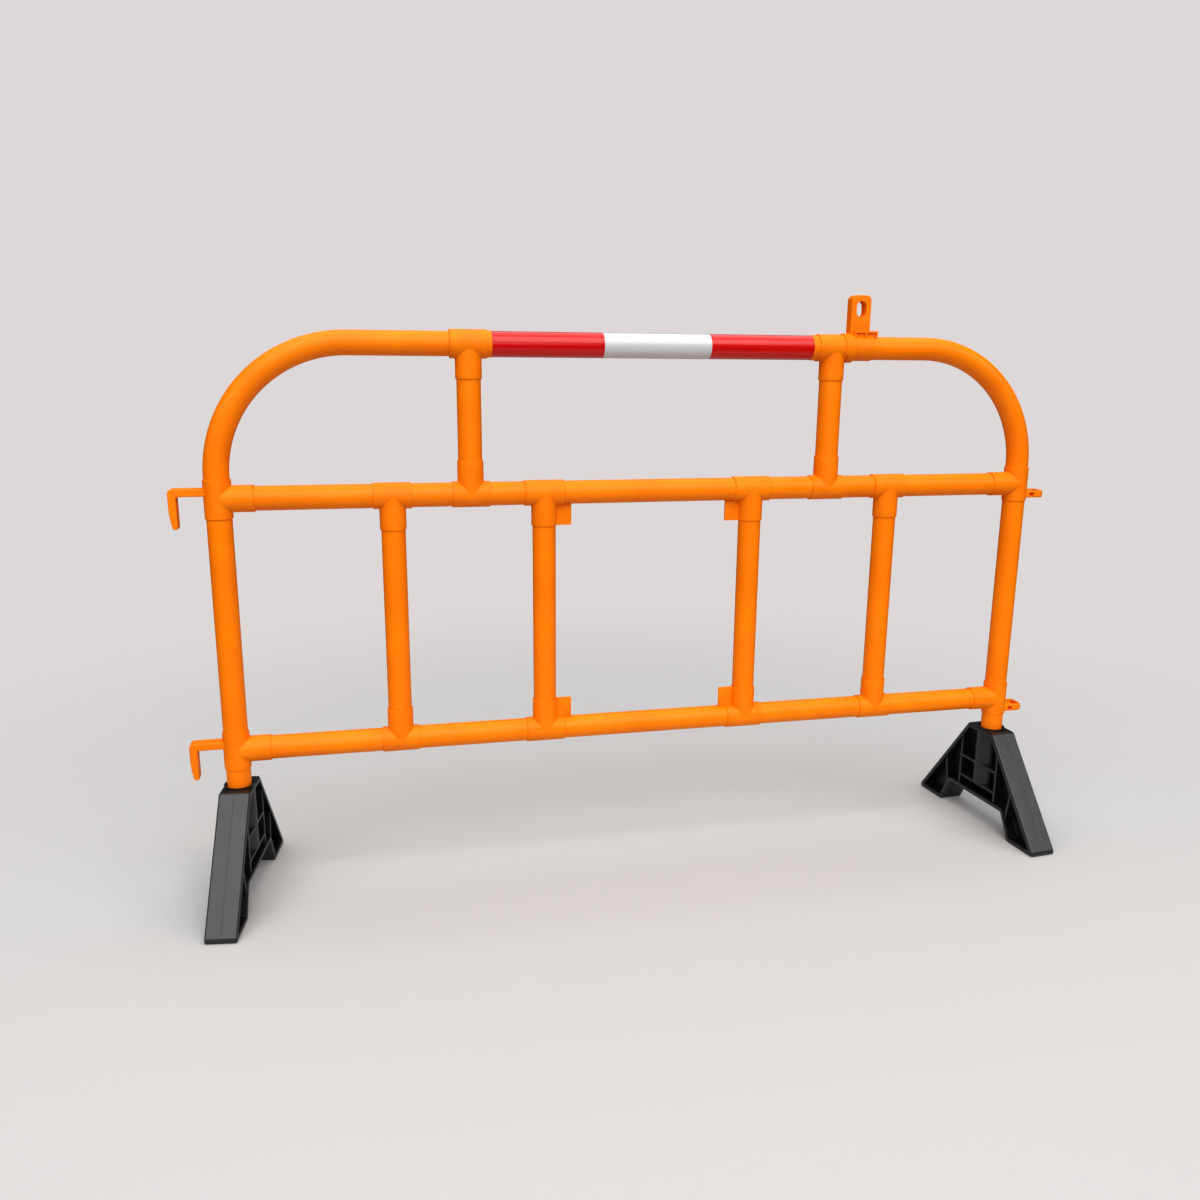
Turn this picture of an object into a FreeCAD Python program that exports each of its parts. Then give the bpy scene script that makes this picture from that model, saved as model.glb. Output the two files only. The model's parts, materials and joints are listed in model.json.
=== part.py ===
import FreeCAD, Part
import math
import os

# A free-standing pedestrian barrier of plastic tube. Two J-shaped corner posts and a banded
# top rail make the arch, two rails cross between the posts, and six short posts join the
# rails. Tees slide over the rails and hold the posts. Each corner post stands in a moulded
# foot that swivels on it. The left end carries hooks, the right end the eyes they drop into.
#
# Millimetres. X runs along the barrier, Y goes to its back, Z is up. Everything but the feet
# is centred on Y = 0. The pieces are drawn with X = 0 midway between the corner posts. They
# are written with the origin on the floor under the middle of the overall length, which is a
# little to one side because the hooks reach out further than the eyes.

V = FreeCAD.Vector
X_AXIS = V(1, 0, 0)
Y_AXIS = V(0, 1, 0)
Z_AXIS = V(0, 0, 1)

# Frame
POST_SPACING = 1510.0
TOP_RAIL_Z = 979.0
MID_RAIL_Z = 720.5
BOTTOM_RAIL_Z = 273.0
BEND_RADIUS = 222.0
UPPER_POST_X = {"left": -330.0, "right": 345.0}
LOWER_POST_X = {"outer_left": -467.0, "inner_left": -199.0, "inner_right": 195.0, "outer_right": 474.0}

# Tube
TUBE_OD = 42.0
TUBE_WALL = 2.4

# Tees
TEE_WALL = 1.8
TEE_RUN = 66.0
TAB_TEE_RUN = 72.0
TEE_BRANCH = 59.0
TEE_CHAMFER = 0.8
SOCKET_FLOOR = 1.6
TOP_TEE_RUN = 64.0
TOP_TEE_WALL = 1.7

# Fits
SOCKET_CLEARANCE = 0.1
END_GAP = 0.2
SWIVEL_CLEARANCE = 0.08
MOVING_GAP = 0.4

# Bushes in the top tees, and the film round the top rail between them
BUSH_WALL = 1.6
BUSH_INSERT = 12.0
BUSH_SHOWS = {"left": 8.0, "right": 13.0}
FILM_THICKNESS = 0.4
FILM_CLEARANCE = 0.05
FILM_GAP = 0.2

# Flat tabs in the corners of the centre pane
TAB_OUT = 50.0
TAB_THICKNESS = 4.0

# Hooks
HOOK_REACH = 78.0
HOOK_WIDTH = 24.0
HOOK_THICKNESS = 13.0
HOOK_ARM_RISE = 12.0
HOOK_DROP = 49.0
HOOK_TIP = 6.5
HOOK_TAPER_LENGTH = 38.0
HOOK_CORNER_RADIUS = 7.0
HOOK_TIP_RADIUS = 2.5
HOOK_EDGE_RADIUS = 1.5

# Eyes
HOOK_PLAY = 1.5
EYE_OUTER_WALL = 6.0
EYE_SIDE_WALL = 5.0
EYE_REACH = 56.0
EYE_HEIGHT = 14.0
EYE_BELOW = 20.0
EYE_CORNER_RADIUS = 11.0
EYE_EDGE_RADIUS = 2.5
EYE_POCKET_HEIGHT = 5.5
EYE_POCKET_DEPTH = 5.0

# Lamp bracket
COLLAR_WALL = 1.6
COLLAR_LAP = 15.0
COLLAR_BEYOND = 4.5
BRACKET_SWING = 20.0
SLEEVE_LENGTH = 38.0
SLEEVE_WALL = 2.0
PLATE_WIDTH = 39.0
PLATE_THICKNESS = 20.0
PLATE_TOP = 95.0
PLATE_CORNER_RADIUS = 10.0
PLATE_EDGE_RADIUS = 2.0
PLATE_SETBACK = 7.0
PLATE_SLOT_WIDTH = 19.0
PLATE_SLOT_HEIGHT = 29.0
PLATE_SLOT_MARGIN = 10.5
LEDGE_TOP = 31.0
LEDGE_THICKNESS = 3.5
LEDGE_HALF_DEPTH = 15.5
LEDGE_OVERHANG = 8.0
LEDGE_RIB = 3.0

# Feet
FOOT_TURN = {"left": -7.4, "right": 4.6}
FOOT_WIDTH = 53.5
FOOT_HEIGHT = 206.0
FOOT_TOP_HALF = 39.0
FOOT_HALF_LENGTH = 187.0
FOOT_TOE_HEIGHT = 9.0
FOOT_HEEL_HALF = 111.0
ARCH_HALF = 83.0
ARCH_HEIGHT = 52.5
FOOT_WALL = 9.0
FOOT_WEB = 7.0
FOOT_EDGE_RADIUS = 4.0
RIB_THICKNESS = 6.0
RIB_INSET = 2.5
INNER_RIB_Y = 57.0
TOE_RIB_FOOT_Y = 95.0
TOE_RIB_TOP_Y = 108.0
UPPER_RIB_ABOVE_ARCH = 73.5
LOWER_RIB_ABOVE_ARCH = 29.5
SOCKET_ABOVE_ARCH = 32.5
SOCKET_WALL = 5.3
SOCKET_RIM = 2.5
MOUTH_CHAMFER = 3.0

# Values that follow from the ones above
TUBE_ID = TUBE_OD - 2 * TUBE_WALL
SOCKET_BORE = TUBE_OD + 2 * SOCKET_CLEARANCE
TEE_OD = SOCKET_BORE + 2 * TEE_WALL
SOCKET_BOTTOM = TEE_OD / 2 + SOCKET_FLOOR
BUSH_OD = SOCKET_BORE + 2 * BUSH_WALL
BUSH_BORE = BUSH_OD + 2 * SOCKET_CLEARANCE
TOP_TEE_OD = BUSH_BORE + 2 * TOP_TEE_WALL
POST_X = {"left": -POST_SPACING / 2, "right": POST_SPACING / 2}
FOOT_SOCKET_BORE = TUBE_OD + 2 * SWIVEL_CLEARANCE
FOOT_SOCKET_FLOOR = ARCH_HEIGHT + SOCKET_ABOVE_ARCH
FOOT_LOWER_RIB_Z = ARCH_HEIGHT + LOWER_RIB_ABOVE_ARCH
FOOT_UPPER_RIB_Z = ARCH_HEIGHT + UPPER_RIB_ABOVE_ARCH
POST_FOOT_Z = FOOT_SOCKET_FLOOR + MOVING_GAP
EYE_SLOT_LENGTH = HOOK_THICKNESS + 2 * HOOK_PLAY
EYE_SLOT_WIDTH = HOOK_WIDTH + 2 * HOOK_PLAY
EYE_WIDTH = EYE_SLOT_WIDTH + 2 * EYE_SIDE_WALL
ORIGIN_SHIFT = (HOOK_REACH - EYE_REACH) / 2

os.makedirs("parts", exist_ok=True)


def write(name, shape):
    """One STEP file for one named piece."""
    solid = shape.removeSplitter()
    solid.translate(X_AXIS * ORIGIN_SHIFT)
    assert solid.isValid() and len(solid.Solids) == 1, name
    solid.exportStep("parts/" + name + ".step")


def rod(start, direction, length, diameter):
    return Part.makeCylinder(diameter / 2, length, start, direction)


def box(low, high):
    size = high - low
    return Part.makeBox(size.x, size.y, size.z, low)


def rim_edges(shape, point, direction, diameter):
    """The circular edges of one diameter that lie in the plane through the point."""
    found = []
    for edge in shape.Edges:
        if not isinstance(edge.Curve, Part.Circle):
            continue
        offset = (edge.Curve.Center - point).dot(direction)
        if abs(offset) < 1e-6 and abs(edge.Curve.Radius - diameter / 2) < 1e-6:
            found.append(edge)
    return found


def sleeve_blank(start, direction, length, diameter, both_ends):
    """A solid rod with a small chamfer round its far end, or round both ends."""
    blank = rod(start, direction, length, diameter)
    rims = rim_edges(blank, start + direction * length, direction, diameter)
    if both_ends:
        rims += rim_edges(blank, start, direction, diameter)
    return blank.makeChamfer(TEE_CHAMFER, rims)


def straight_tube(start, end):
    length = (end - start).Length
    direction = (end - start).normalize()
    return rod(start, direction, length, TUBE_OD).cut(rod(start, direction, length, TUBE_ID))


# ---- tees ----

def tee_blank(centre, run, branch, run_length, run_od):
    """The outside of a tee: a run through its centre and one branch."""
    body = sleeve_blank(centre - run * (run_length / 2), run, run_length, run_od, True)
    return body.fuse(sleeve_blank(centre, branch, TEE_BRANCH, TEE_OD, False))


def bore_tee(body, centre, run, branch, run_length):
    """The rail passes straight through the run; the branch is a blind socket for a post."""
    body = body.cut(rod(centre - run * run_length, run, 2 * run_length, SOCKET_BORE))
    return body.cut(rod(centre + branch * SOCKET_BOTTOM, branch, TEE_BRANCH, SOCKET_BORE))


def rail_tee(x, z, branch):
    centre = V(x, 0, z)
    body = tee_blank(centre, X_AXIS, branch, TEE_RUN, TEE_OD)
    return bore_tee(body, centre, X_AXIS, branch, TEE_RUN)


def tab_tee(x, z, branch, side):
    """A rail tee with a flat tab in the corner between its branch and the rail."""
    centre = V(x, 0, z)
    body = tee_blank(centre, X_AXIS, branch, TAB_TEE_RUN, TEE_OD)
    corner = centre + X_AXIS * (side * TAB_OUT) + branch * TEE_BRANCH
    low = V(min(x, corner.x), -TAB_THICKNESS / 2, min(z, corner.z))
    high = V(max(x, corner.x), TAB_THICKNESS / 2, max(z, corner.z))
    body = body.fuse(box(low, high))
    return bore_tee(body, centre, X_AXIS, branch, TAB_TEE_RUN)


def top_tee(side):
    """The run is a size up: its inner half takes the bush of the banded rail."""
    centre = V(UPPER_POST_X[side], 0, TOP_RAIL_Z)
    inward = X_AXIS if side == "left" else -X_AXIS
    body = tee_blank(centre, X_AXIS, -Z_AXIS, TOP_TEE_RUN, TOP_TEE_OD)
    body = bore_tee(body, centre, X_AXIS, -Z_AXIS, TOP_TEE_RUN)
    counterbore_start = centre + inward * (TOP_TEE_RUN / 2 - BUSH_INSERT - END_GAP)
    return body.cut(rod(counterbore_start, inward, TOP_TEE_RUN, BUSH_BORE))


def hook_blank(centre):
    """An arm out from the post and a leg down, its outer face curving in to the tip."""
    arm_top = HOOK_ARM_RISE + HOOK_THICKNESS / 2
    arm_bottom = arm_top - HOOK_THICKNESS
    outer = -HOOK_REACH
    inner = outer + HOOK_THICKNESS
    inset = HOOK_THICKNESS - HOOK_TIP
    sweep_radius = (HOOK_TAPER_LENGTH ** 2 + inset ** 2) / (2 * inset)
    sweep = math.asin(HOOK_TAPER_LENGTH / sweep_radius)
    taper_top = HOOK_TAPER_LENGTH - HOOK_DROP

    def at(x, z):
        return centre + V(x, -HOOK_WIDTH / 2, z)

    def on_taper(angle):
        return at(outer + sweep_radius * (1 - math.cos(angle)), taper_top - sweep_radius * math.sin(angle))

    bend = HOOK_CORNER_RADIUS * (1 - math.sqrt(0.5))
    edges = [
        Part.LineSegment(at(0, arm_top), at(outer + HOOK_CORNER_RADIUS, arm_top)),
        Part.Arc(at(outer + HOOK_CORNER_RADIUS, arm_top), at(outer + bend, arm_top - bend),
                 at(outer, arm_top - HOOK_CORNER_RADIUS)),
        Part.LineSegment(at(outer, arm_top - HOOK_CORNER_RADIUS), at(outer, taper_top)),
        Part.Arc(on_taper(0), on_taper(sweep / 2), on_taper(sweep)),
        Part.LineSegment(on_taper(sweep), at(inner, -HOOK_DROP)),
        Part.LineSegment(at(inner, -HOOK_DROP), at(inner, arm_bottom)),
        Part.LineSegment(at(inner, arm_bottom), at(0, arm_bottom)),
        Part.LineSegment(at(0, arm_bottom), at(0, arm_top)),
    ]
    outline = Part.Wire([edge.toShape() for edge in edges])
    hook = Part.Face(outline).extrude(Y_AXIS * HOOK_WIDTH)
    tip = [edge for edge in hook.Edges
           if edge.BoundBox.YLength > HOOK_WIDTH / 2 and edge.BoundBox.ZMax < centre.z - HOOK_DROP + 1e-3]
    hook = hook.makeFillet(HOOK_TIP_RADIUS, tip)
    at_post = centre.x - TEE_OD / 4
    rims = [edge for edge in hook.Edges
            if abs(abs(edge.BoundBox.Center.y) - HOOK_WIDTH / 2) < 1e-3 and edge.BoundBox.XMin < at_post]
    return hook.makeFillet(HOOK_EDGE_RADIUS, rims)


def eye_blank(centre):
    """A flat loop, with an upright slot that a hook's leg drops through."""
    half_width = EYE_WIDTH / 2
    low = centre + V(0, -half_width, -EYE_BELOW - EYE_HEIGHT / 2)
    high = centre + V(EYE_REACH, half_width, -EYE_BELOW + EYE_HEIGHT / 2)
    eye = box(low, high)
    corners = [edge for edge in eye.Edges
               if edge.BoundBox.ZLength > EYE_HEIGHT / 2 and edge.BoundBox.XMin > centre.x + EYE_REACH / 2]
    eye = eye.makeFillet(EYE_CORNER_RADIUS, corners)
    rims = [edge for edge in eye.Edges if edge.BoundBox.ZLength < 1e-6 and edge.BoundBox.XMax > low.x + 1]
    eye = eye.makeFillet(EYE_EDGE_RADIUS, rims)
    slot_end = EYE_REACH - EYE_OUTER_WALL
    slot_start = slot_end - EYE_SLOT_LENGTH
    half_slot = EYE_SLOT_WIDTH / 2
    slot_low = V(centre.x + slot_start, -half_slot, low.z - 1)
    slot = box(slot_low, V(centre.x + slot_end, half_slot, high.z + 1))
    slot = slot.makeFillet(HOOK_PLAY, [edge for edge in slot.Edges if edge.BoundBox.ZLength > EYE_HEIGHT])
    eye = eye.cut(slot)
    pocket_z = centre.z - EYE_BELOW
    for side in (-1, 1):
        face_y = side * half_width
        floor_y = side * (half_width - EYE_POCKET_DEPTH)
        pocket_low = V(low.x, min(face_y, floor_y), pocket_z - EYE_POCKET_HEIGHT / 2)
        pocket_high = V(slot_low.x, max(face_y, floor_y), pocket_z + EYE_POCKET_HEIGHT / 2)
        eye = eye.cut(box(pocket_low, pocket_high))
    return eye


def end_tee(side, z):
    """A tee on a corner post, its branch holding the end of a rail, with a hook or an eye."""
    centre = V(POST_X[side], 0, z)
    branch = X_AXIS if side == "left" else -X_AXIS
    body = tee_blank(centre, Z_AXIS, branch, TEE_RUN, TEE_OD)
    link = hook_blank(centre) if side == "left" else eye_blank(centre)
    return bore_tee(body.fuse(link), centre, Z_AXIS, branch, TEE_RUN)


# ---- tubes ----

def corner_post(side):
    """From the foot's socket up the end of the barrier, round the bend and into the top tee."""
    inward = X_AXIS if side == "left" else -X_AXIS
    foot = V(POST_X[side], 0, POST_FOOT_Z)
    bend_start = V(POST_X[side], 0, TOP_RAIL_Z - BEND_RADIUS)
    bend_centre = bend_start + inward * BEND_RADIUS
    bend_end = bend_centre + Z_AXIS * BEND_RADIUS
    rail_end = V(UPPER_POST_X[side], 0, TOP_RAIL_Z) - inward * END_GAP
    ring = Part.Face([
        Part.Wire(Part.makeCircle(TUBE_OD / 2, bend_start, Z_AXIS)),
        Part.Wire(Part.makeCircle(TUBE_ID / 2, bend_start, Z_AXIS)),
    ])
    turn = 90 if side == "left" else -90
    bend = ring.revolve(bend_centre, Y_AXIS, turn)
    return straight_tube(foot, bend_start).fuse([bend, straight_tube(bend_end, rail_end)])


def post(x, low_rail_z, high_rail_z):
    reach = SOCKET_BOTTOM + END_GAP
    return straight_tube(V(x, 0, low_rail_z + reach), V(x, 0, high_rail_z - reach))


def cross_rail(z):
    reach = SOCKET_BOTTOM + END_GAP
    return straight_tube(V(POST_X["left"] + reach, 0, z), V(POST_X["right"] - reach, 0, z))


def bush(side):
    """A reducing ring between the banded rail and the top tee, standing a little proud."""
    inward = X_AXIS if side == "left" else -X_AXIS
    tee_face = V(UPPER_POST_X[side], 0, TOP_RAIL_Z) + inward * (TOP_TEE_RUN / 2)
    length = BUSH_INSERT + BUSH_SHOWS[side]
    start = tee_face - inward * BUSH_INSERT
    blank = sleeve_blank(start, inward, length, BUSH_OD, False)
    return blank.cut(rod(start - inward, inward, length + 2, SOCKET_BORE))


def film_ring(start_x, end_x):
    centre = V(start_x, 0, TOP_RAIL_Z)
    inner = TUBE_OD + 2 * FILM_CLEARANCE
    outer = inner + 2 * FILM_THICKNESS
    length = end_x - start_x
    return rod(centre, X_AXIS, length, outer).cut(rod(centre, X_AXIS, length, inner))


# ---- lamp bracket ----

def branch_notch(collar_start, collar_bore, collar_od):
    """The gap under the collar, in which the tee's branch lets the bracket swing both ways."""
    branch_radius = TEE_OD / 2 + MOVING_GAP
    branch_x = UPPER_POST_X["right"]
    branch_half = math.sqrt(branch_radius ** 2 - (collar_start.x - branch_x) ** 2)
    half_angle = math.asin(branch_half / (collar_bore / 2)) + math.radians(BRACKET_SWING)
    reach = collar_od / math.cos(half_angle)
    side_y = reach * math.sin(half_angle)
    side_z = -reach * math.cos(half_angle)
    corners = [V(), V(0, side_y, side_z), V(0, -side_y, side_z), V()]
    wedge = Part.Face(Part.makePolygon([collar_start + corner for corner in corners]))
    return wedge.extrude(X_AXIS * (branch_x + branch_radius - collar_start.x))


def lamp_bracket():
    """A slotted plate on a sleeve that turns on the rail; its collar laps over the top tee."""
    axis = V(UPPER_POST_X["right"] + TOP_TEE_RUN / 2, 0, TOP_RAIL_Z)
    collar_start = axis - X_AXIS * COLLAR_LAP
    collar_length = COLLAR_LAP + COLLAR_BEYOND
    collar_bore = TOP_TEE_OD + 2 * MOVING_GAP
    collar_od = collar_bore + 2 * COLLAR_WALL
    sleeve_start = axis + X_AXIS * MOVING_GAP
    sleeve_end_x = axis.x + COLLAR_BEYOND + SLEEVE_LENGTH
    sleeve_bore = TUBE_OD + 2 * SWIVEL_CLEARANCE
    sleeve_od = sleeve_bore + 2 * SLEEVE_WALL
    body = sleeve_blank(collar_start, X_AXIS, collar_length, collar_od, True)
    body = body.fuse(rod(axis, X_AXIS, sleeve_end_x - axis.x, sleeve_od))

    plate_left = axis.x + COLLAR_BEYOND - PLATE_SETBACK
    plate_right = plate_left + PLATE_WIDTH
    half = PLATE_THICKNESS / 2
    plate = box(V(plate_left, -half, TOP_RAIL_Z), V(plate_right, half, TOP_RAIL_Z + PLATE_TOP))
    shoulders = [edge for edge in plate.Edges
                 if edge.BoundBox.YLength > half and edge.BoundBox.ZMin > TOP_RAIL_Z + half]
    plate = plate.makeFillet(PLATE_CORNER_RADIUS, shoulders)
    outline = [edge for edge in plate.Edges
               if abs(abs(edge.BoundBox.Center.y) - half) < 1e-3 and edge.BoundBox.ZMax > TOP_RAIL_Z + 1]
    plate = plate.makeFillet(PLATE_EDGE_RADIUS, outline)
    slot_x = (plate_left + plate_right) / 2
    slot_radius = PLATE_SLOT_WIDTH / 2
    slot_top = TOP_RAIL_Z + PLATE_TOP - PLATE_SLOT_MARGIN - slot_radius
    slot_bottom = slot_top - (PLATE_SLOT_HEIGHT - PLATE_SLOT_WIDTH)
    slot = box(V(slot_x - slot_radius, -half - 1, slot_bottom), V(slot_x + slot_radius, half + 1, slot_top))
    for z in (slot_bottom, slot_top):
        slot = slot.fuse(rod(V(slot_x, -half - 1, z), Y_AXIS, PLATE_THICKNESS + 2, PLATE_SLOT_WIDTH))
    body = body.fuse(plate.cut(slot.removeSplitter()))

    ledge_right = sleeve_end_x + LEDGE_OVERHANG
    ledge_z = TOP_RAIL_Z + LEDGE_TOP
    ledge_bottom = ledge_z - LEDGE_THICKNESS
    ledge_left = axis.x + COLLAR_BEYOND
    body = body.fuse(box(V(ledge_left, -LEDGE_HALF_DEPTH, ledge_bottom), V(ledge_right, LEDGE_HALF_DEPTH, ledge_z)))
    rib_bottom = TOP_RAIL_Z + TUBE_OD / 2 + MOVING_GAP
    rib_xs = (ledge_left, (ledge_left + ledge_right - LEDGE_RIB) / 2, ledge_right - LEDGE_RIB)
    for x, bottom in zip(rib_xs, (TOP_RAIL_Z, TOP_RAIL_Z, rib_bottom)):
        low = V(x, -LEDGE_HALF_DEPTH, bottom)
        body = body.fuse(box(low, V(x + LEDGE_RIB, LEDGE_HALF_DEPTH, ledge_bottom)))
    body = body.cut(branch_notch(collar_start, collar_bore, collar_od))
    body = body.cut(rod(collar_start, X_AXIS, sleeve_start.x - collar_start.x, collar_bore))
    return body.cut(rod(sleeve_start, X_AXIS, sleeve_end_x + LEDGE_OVERHANG - sleeve_start.x, sleeve_bore))


# ---- feet ----

def slope_z(y):
    """The height of the outer face of a leg at a distance out."""
    share = (y - FOOT_TOP_HALF) / (FOOT_HALF_LENGTH - FOOT_TOP_HALF)
    return FOOT_HEIGHT - share * (FOOT_HEIGHT - FOOT_TOE_HEIGHT)


def foot_outline():
    """Side view of the foot: two splayed legs over an arch."""
    half = [
        (FOOT_TOP_HALF, FOOT_HEIGHT),
        (FOOT_HALF_LENGTH, FOOT_TOE_HEIGHT),
        (FOOT_HALF_LENGTH, 0.0),
        (FOOT_HEEL_HALF, 0.0),
        (ARCH_HALF, ARCH_HEIGHT),
    ]
    corners = half + [(-y, z) for y, z in reversed(half)]
    return Part.Face(Part.makePolygon([V(0, y, z) for y, z in corners + corners[:1]]))


def slab(face, half_width):
    """An outline in the YZ plane, thickened evenly to both sides of it."""
    moved = face.copy()
    moved.translate(V(-half_width, 0, 0))
    return moved.extrude(X_AXIS * (2 * half_width))


def rib(start, end, half_width):
    """A straight rib between two points (y, z) of the side view."""
    a = V(0, *start)
    b = V(0, *end)
    across = X_AXIS.cross((b - a).normalize()) * (RIB_THICKNESS / 2)
    corners = [a + across, b + across, b - across, a - across, a + across]
    return slab(Part.Face(Part.makePolygon(corners)), half_width)


def foot_ribs(half_width):
    ribs = []
    for side in (-1, 1):
        inner_foot = (side * INNER_RIB_Y, ARCH_HEIGHT)
        inner_top = (side * INNER_RIB_Y, slope_z(INNER_RIB_Y) - FOOT_WALL / 2)
        ribs.append(rib(inner_foot, inner_top, half_width))
        heel_share = (TOE_RIB_FOOT_Y - ARCH_HALF) / (FOOT_HEEL_HALF - ARCH_HALF)
        toe_foot = (side * TOE_RIB_FOOT_Y, ARCH_HEIGHT * (1 - heel_share) + FOOT_WALL / 2)
        toe_top = (side * TOE_RIB_TOP_Y, slope_z(TOE_RIB_TOP_Y) - FOOT_WALL / 2)
        ribs.append(rib(toe_foot, toe_top, half_width))
    for z in (FOOT_UPPER_RIB_Z, FOOT_LOWER_RIB_Z):
        ribs.append(rib((-INNER_RIB_Y, z), (INNER_RIB_Y, z), half_width))
    return ribs


def foot(side):
    """One moulding: a web inside a rim, ribs on both sides, and a socket down its middle."""
    outline = foot_outline()
    half_width = FOOT_WIDTH / 2
    block = slab(outline, half_width)
    shoulders = [edge for edge in block.Edges
                 if edge.BoundBox.XLength < 1e-6 and edge.BoundBox.ZMax > FOOT_HEIGHT / 2]
    block = block.makeFillet(FOOT_EDGE_RADIUS, shoulders)
    hollow = slab(outline.makeOffset2D(-FOOT_WALL, 2), half_width + 1)
    web = box(V(-FOOT_WEB / 2, -FOOT_HALF_LENGTH, 0), V(FOOT_WEB / 2, FOOT_HALF_LENGTH, FOOT_HEIGHT))
    body = block.cut(hollow.cut(web))
    body = body.fuse(foot_ribs(half_width - RIB_INSET))

    rim_z = FOOT_HEIGHT + SOCKET_RIM
    cone_z = rim_z - 2 * MOUTH_CHAMFER
    column = rod(V(0, 0, FOOT_LOWER_RIB_Z), Z_AXIS, rim_z - FOOT_LOWER_RIB_Z, FOOT_SOCKET_BORE + 2 * SOCKET_WALL)
    bore = rod(V(0, 0, FOOT_SOCKET_FLOOR), Z_AXIS, rim_z, FOOT_SOCKET_BORE)
    mouth = Part.makeCone(FOOT_SOCKET_BORE / 2, FOOT_SOCKET_BORE / 2 + MOUTH_CHAMFER, rim_z - cone_z, V(0, 0, cone_z))
    body = body.fuse(column).cut(bore).cut(mouth)

    body.rotate(V(0, 0, 0), Z_AXIS, FOOT_TURN[side])
    body.translate(V(POST_X[side], 0, 0))
    return body


# ---- write every piece ----

for side in ("left", "right"):
    write("corner_post_" + side, corner_post(side))
    write("foot_" + side, foot(side))
    write("top_tee_" + side, top_tee(side))
    write("top_bush_" + side, bush(side))
    write("upper_post_" + side, post(UPPER_POST_X[side], MID_RAIL_Z, TOP_RAIL_Z))
    write("mid_tee_upper_" + side, rail_tee(UPPER_POST_X[side], MID_RAIL_Z, Z_AXIS))
    outer_x = LOWER_POST_X["outer_" + side]
    write("mid_tee_outer_" + side, rail_tee(outer_x, MID_RAIL_Z, -Z_AXIS))
    write("bottom_tee_outer_" + side, rail_tee(outer_x, BOTTOM_RAIL_Z, Z_AXIS))
    inner_x = LOWER_POST_X["inner_" + side]
    towards_middle = 1 if side == "left" else -1
    write("mid_tab_tee_" + side, tab_tee(inner_x, MID_RAIL_Z, -Z_AXIS, towards_middle))
    write("bottom_tab_tee_" + side, tab_tee(inner_x, BOTTOM_RAIL_Z, Z_AXIS, towards_middle))

for name, x in LOWER_POST_X.items():
    write("lower_post_" + name, post(x, BOTTOM_RAIL_Z, MID_RAIL_Z))

write("mid_hook_tee", end_tee("left", MID_RAIL_Z))
write("bottom_hook_tee", end_tee("left", BOTTOM_RAIL_Z))
write("mid_eye_tee", end_tee("right", MID_RAIL_Z))
write("bottom_eye_tee", end_tee("right", BOTTOM_RAIL_Z))
write("mid_rail", cross_rail(MID_RAIL_Z))
write("bottom_rail", cross_rail(BOTTOM_RAIL_Z))

rail_start = V(UPPER_POST_X["left"] + END_GAP, 0, TOP_RAIL_Z)
rail_end = V(UPPER_POST_X["right"] - END_GAP, 0, TOP_RAIL_Z)
write("top_rail", straight_tube(rail_start, rail_end))

band_start = UPPER_POST_X["left"] + TOP_TEE_RUN / 2 + BUSH_SHOWS["left"]
band_end = UPPER_POST_X["right"] - TOP_TEE_RUN / 2 - BUSH_SHOWS["right"]
BANDS = ("film_red_left", "film_white", "film_red_right")
band_length = (band_end - band_start) / len(BANDS)
for index, name in enumerate(BANDS):
    start_x = band_start + index * band_length + FILM_GAP / 2
    write(name, film_ring(start_x, start_x + band_length - FILM_GAP))

write("lamp_bracket", lamp_bracket())
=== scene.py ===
import json
import math

import bmesh
import bpy
import numpy as np
from mathutils import Matrix, Vector


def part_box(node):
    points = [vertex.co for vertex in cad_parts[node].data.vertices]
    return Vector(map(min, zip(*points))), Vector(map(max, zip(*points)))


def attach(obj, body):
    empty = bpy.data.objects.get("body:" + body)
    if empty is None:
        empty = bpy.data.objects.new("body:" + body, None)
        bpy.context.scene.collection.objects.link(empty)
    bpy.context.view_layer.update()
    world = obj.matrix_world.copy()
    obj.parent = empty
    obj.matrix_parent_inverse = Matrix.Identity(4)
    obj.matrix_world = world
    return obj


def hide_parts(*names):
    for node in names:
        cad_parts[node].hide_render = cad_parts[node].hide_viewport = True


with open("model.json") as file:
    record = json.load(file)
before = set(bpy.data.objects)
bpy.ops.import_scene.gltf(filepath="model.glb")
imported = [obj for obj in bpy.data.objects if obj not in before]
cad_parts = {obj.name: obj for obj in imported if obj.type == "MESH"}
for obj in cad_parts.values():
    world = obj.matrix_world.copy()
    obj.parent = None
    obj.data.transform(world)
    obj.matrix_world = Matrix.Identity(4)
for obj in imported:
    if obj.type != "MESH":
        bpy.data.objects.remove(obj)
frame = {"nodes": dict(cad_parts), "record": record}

# A free-standing pedestrian barrier of plastic pipe, in metres, in the frame's own axes: X along
# the barrier, Y to its back, Z up. Every piece below stands for one node of the frame and takes
# its place and overall size from that node's box.

MM = 0.001

# Pipe
PIPE_WALL = 2.4 * MM
BEND_RADIUS = 222 * MM
PIPE_SIDES = 96
BEND_STEPS = 72

# Pipe fittings
SOCKET_BORE = 42.2 * MM
SOCKET_FLOOR = 24.5 * MM
BRANCH_OD = 45.8 * MM
BUSH_BORE = 45.6 * MM
BUSH_SEAT = 12.2 * MM
LIP_ROUND = 0.6 * MM
MOUTH_ROUND = 0.5 * MM
CROTCH_ROUND = 2.2 * MM
RUN_COLUMNS = 64
LINE_COLUMNS = 16
SKIN_ROWS = 20
BRANCH_ROWS = 5
CROTCH_ROWS = 6
CROTCH_LEAST = 0.15 * MM
LIP_STEPS = 4
MOUTH_STEPS = 3

# Reflective film
FILM_WALL = 0.32 * MM
FILM_LAP = 9 * MM
FILM_STEP = 0.4 * MM

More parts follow.
